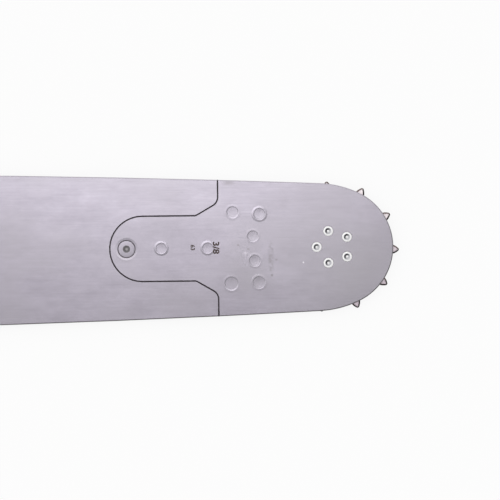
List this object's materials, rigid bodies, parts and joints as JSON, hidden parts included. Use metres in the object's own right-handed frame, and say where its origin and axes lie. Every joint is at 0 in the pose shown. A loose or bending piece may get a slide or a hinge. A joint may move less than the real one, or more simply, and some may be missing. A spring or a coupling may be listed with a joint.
{
  "type": "chainsaw guide bar",
  "caption": "Long flat steel guide bar for a chainsaw, with grooved rails, a slotted tail and a riveted, replaceable nose whose toothed sprocket turns on loose rollers.",
  "frame": {"origin": "centre of the stud slot, on the saw-side face", "axes": "+X along the bar to the nose, +Y across it to the upper rail, +Z out of the cover-side face"},
  "size_m": [0.5978, 0.0752, 0.0049],
  "materials": {
    "bar_steel": "satin, brushed along the bar",
    "nose_steel": "satin, lightly stained",
    "core_steel": "dull",
    "sprocket_steel": "satin, dark at its edges",
    "bearing_steel": "ground",
    "rivet_steel": "bright",
    "nose_rivet_steel": "satin, turned"
  },
  "bodies": {
    "bar": {"bar_body": "bar_steel", "nose_front_plate": "nose_steel", "nose_back_plate": "nose_steel", "nose_core": "core_steel", "bearing_race": "bearing_steel", "bearing_rivets": "rivet_steel", "nose_rivet": "nose_rivet_steel"},
    "sprocket": {"nose_sprocket": "sprocket_steel"},
    "rollers": {"bearing_roller_01": "bearing_steel", "bearing_roller_02": "bearing_steel", "bearing_roller_03": "bearing_steel", "bearing_roller_04": "bearing_steel", "bearing_roller_05": "bearing_steel", "bearing_roller_06": "bearing_steel", "bearing_roller_07": "bearing_steel", "bearing_roller_08": "bearing_steel", "bearing_roller_09": "bearing_steel", "bearing_roller_10": "bearing_steel", "bearing_roller_11": "bearing_steel", "bearing_roller_12": "bearing_steel", "bearing_roller_13": "bearing_steel", "bearing_roller_14": "bearing_steel", "bearing_roller_15": "bearing_steel", "bearing_roller_16": "bearing_steel", "bearing_roller_17": "bearing_steel", "bearing_roller_18": "bearing_steel", "bearing_roller_19": "bearing_steel", "bearing_roller_20": "bearing_steel", "bearing_roller_21": "bearing_steel", "bearing_roller_22": "bearing_steel", "bearing_roller_23": "bearing_steel", "bearing_roller_24": "bearing_steel", "bearing_roller_25": "bearing_steel", "bearing_roller_26": "bearing_steel", "bearing_roller_27": "bearing_steel", "bearing_roller_28": "bearing_steel"}
  },
  "joints": [
    {"name": "sprocket_spin", "type": "hinge", "parent": "bar", "child": "sprocket", "pos_m": [0.5171, 0, 0.0024], "axis": [0, 0, 1], "continuous": true},
    {"name": "roller_orbit", "type": "hinge", "parent": "bar", "child": "rollers", "pos_m": [0.5171, 0, 0.0024], "axis": [0, 0, 1], "continuous": true}
  ],
  "couplings": [
    {"joint": "roller_orbit", "follows": "sprocket_spin", "ratio": 0.5556}
  ]
}
